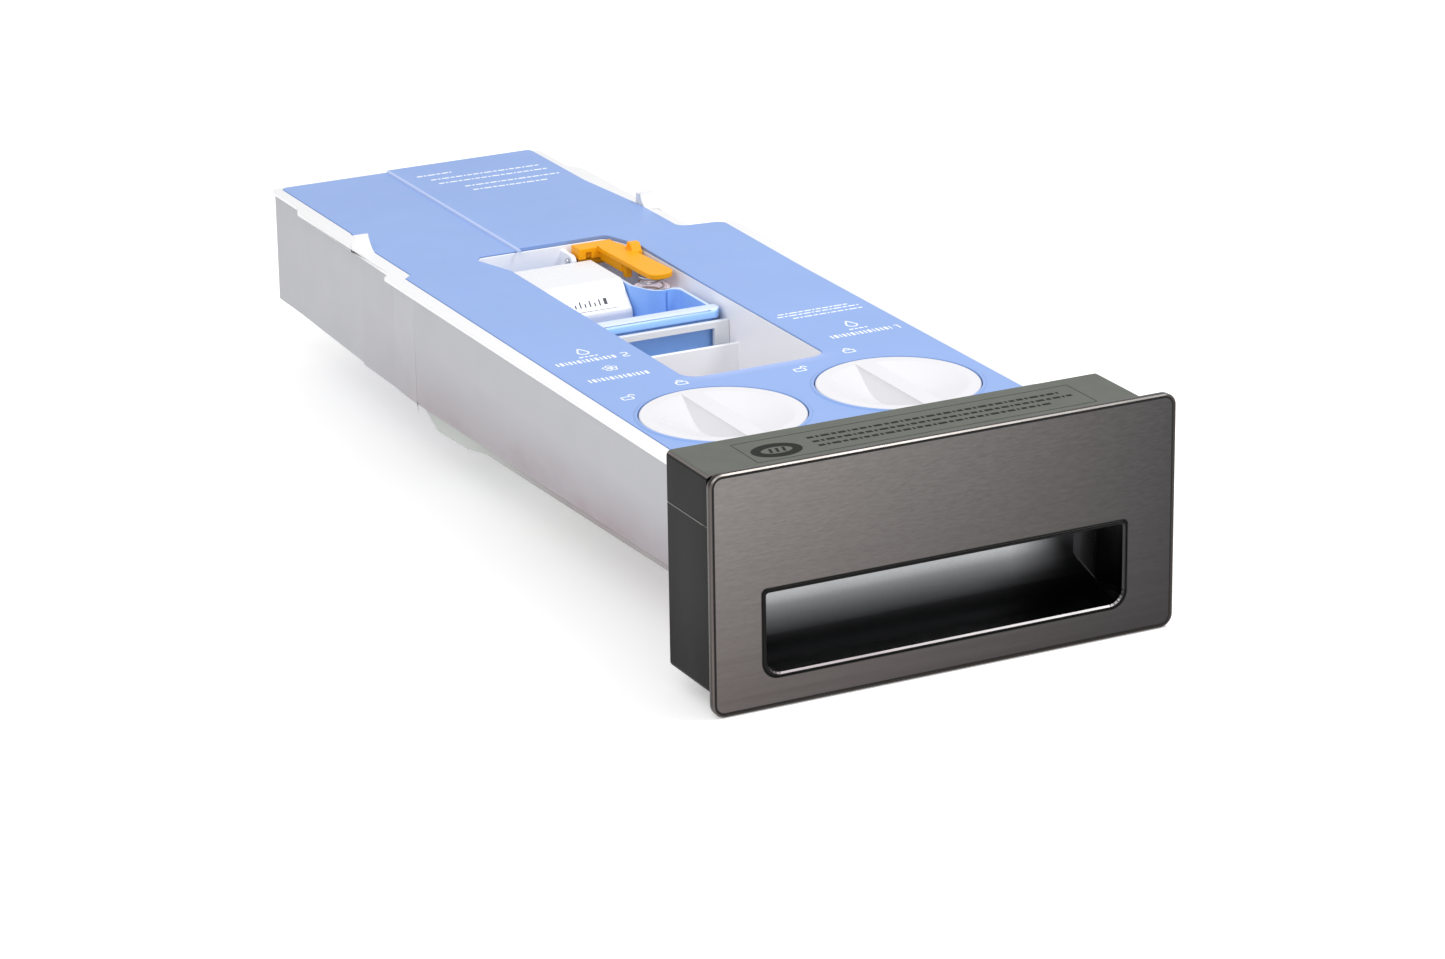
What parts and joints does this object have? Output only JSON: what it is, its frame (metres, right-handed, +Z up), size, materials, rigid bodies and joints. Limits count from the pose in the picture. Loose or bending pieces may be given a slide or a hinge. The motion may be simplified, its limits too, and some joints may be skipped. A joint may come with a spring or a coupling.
{
  "type": "washing machine detergent drawer",
  "caption": "Pull-out detergent drawer of a front load washing machine: dark steel front with a finger pocket, two capped tanks under a blue cover, lift-out cup and an orange lever.",
  "frame": {"origin": "bottom centre of the whole drawer's bounding box, under the panel's lower edge level", "axes": "+X to the right seen from the front, +Y from the front panel to the rear, +Z up"},
  "size_m": [0.23, 0.5624, 0.11],
  "materials": {
    "panel_steel": "fine horizontal brushing",
    "panel_black": "satin",
    "pocket_black": "satin",
    "housing_black": "glossy",
    "housing_olive": "satin",
    "screw_steel": "plated",
    "tray_grey": "satin",
    "rim_white": "satin",
    "well_white": "satin",
    "pan_green": "translucent",
    "cover_blue": "satin",
    "cap_white": "satin",
    "seal_rubber": "matt",
    "float_white": "satin",
    "magnet_grey": "plated",
    "pin_steel": "ground",
    "spigot_white": "satin",
    "valve_blue": "satin",
    "insert_white": "satin",
    "cup_blue": "satin",
    "lever_orange": "satin",
    "smoky_clear": "smoked"
  },
  "bodies": {
    "drawer": {"panel_skin": "panel_steel", "panel_frame": "panel_black", "handle_pocket": "pocket_black", "housing_base": "housing_black", "housing_cap": "housing_olive", "panel_screws": "screw_steel", "pocket_screws": "screw_steel", "drawer_tray": "tray_grey", "tray_rim": "rim_white", "well_box": "well_white", "tank_partitions": "well_white", "bottom_pan": "pan_green", "top_cover": "cover_blue", "float_pin_left": "pin_steel", "float_pin_right": "pin_steel", "spigot_left": "spigot_white", "spigot_right": "spigot_white", "spigot_seal_left": "seal_rubber", "spigot_seal_right": "seal_rubber", "poppet_spring_left": "pin_steel", "poppet_spring_right": "pin_steel", "poppet_guide_left": "spigot_white", "poppet_guide_right": "spigot_white", "cup_frame": "insert_white", "lever_pin": "pin_steel", "lever_spring": "pin_steel", "lever_spring_cup": "smoky_clear"},
    "cap_left_body": {"cap_left": "cap_white", "cap_seal_left": "seal_rubber"},
    "cap_right_body": {"cap_right": "cap_white", "cap_seal_right": "seal_rubber"},
    "float_left_body": {"float_left": "float_white", "float_magnet_left": "magnet_grey"},
    "float_right_body": {"float_right": "float_white", "float_magnet_right": "magnet_grey"},
    "poppet_left_body": {"poppet_left": "valve_blue", "poppet_seal_left": "seal_rubber"},
    "poppet_right_body": {"poppet_right": "valve_blue", "poppet_seal_right": "seal_rubber"},
    "manual_cup_body": {"manual_cup": "cup_blue"},
    "insert_body": {"liquid_insert": "insert_white"},
    "lever_body": {"release_lever": "lever_orange"}
  },
  "joints": [
    {"name": "cap_left_turn", "type": "hinge", "parent": "drawer", "child": "cap_left_body", "pos_m": [-0.0525, -0.17055, 0.092], "axis": [0, 0, 1], "range_deg": [0, 45]},
    {"name": "cap_right_turn", "type": "hinge", "parent": "drawer", "child": "cap_right_body", "pos_m": [0.0365, -0.17055, 0.092], "axis": [0, 0, 1], "range_deg": [0, 45]},
    {"name": "float_left_swing", "type": "hinge", "parent": "drawer", "child": "float_left_body", "pos_m": [-0.06, 0.24975, 0.068], "axis": [-1, 0, 0], "range_deg": [0, 25]},
    {"name": "float_right_swing", "type": "hinge", "parent": "drawer", "child": "float_right_body", "pos_m": [0.02, 0.24975, 0.068], "axis": [-1, 0, 0], "range_deg": [0, 25]},
    {"name": "poppet_left_slide", "type": "slide", "parent": "drawer", "child": "poppet_left_body", "axis": [0, -1, 0], "range_m": [0, 0.003], "stiffness_N_per_m": 300, "springref_m": -0.004, "deforming": ["poppet_spring_left"]},
    {"name": "poppet_right_slide", "type": "slide", "parent": "drawer", "child": "poppet_right_body", "axis": [0, -1, 0], "range_m": [0, 0.003], "stiffness_N_per_m": 300, "springref_m": -0.004, "deforming": ["poppet_spring_right"]},
    {"name": "manual_cup_lift", "type": "slide", "parent": "drawer", "child": "manual_cup_body", "axis": [0, 0, 1], "range_m": [0, 0.045]},
    {"name": "insert_lift", "type": "slide", "parent": "manual_cup_body", "child": "insert_body", "axis": [0, 0, 1], "range_m": [0, 0.03]},
    {"name": "lever_press", "type": "hinge", "parent": "drawer", "child": "lever_body", "pos_m": [0.01, 0.09535, 0.088], "axis": [1, 0, 0], "range_deg": [0, 4], "stiffness_Nm_per_rad": 0.5, "springref_deg": -20.05, "deforming": ["lever_spring"]}
  ]
}
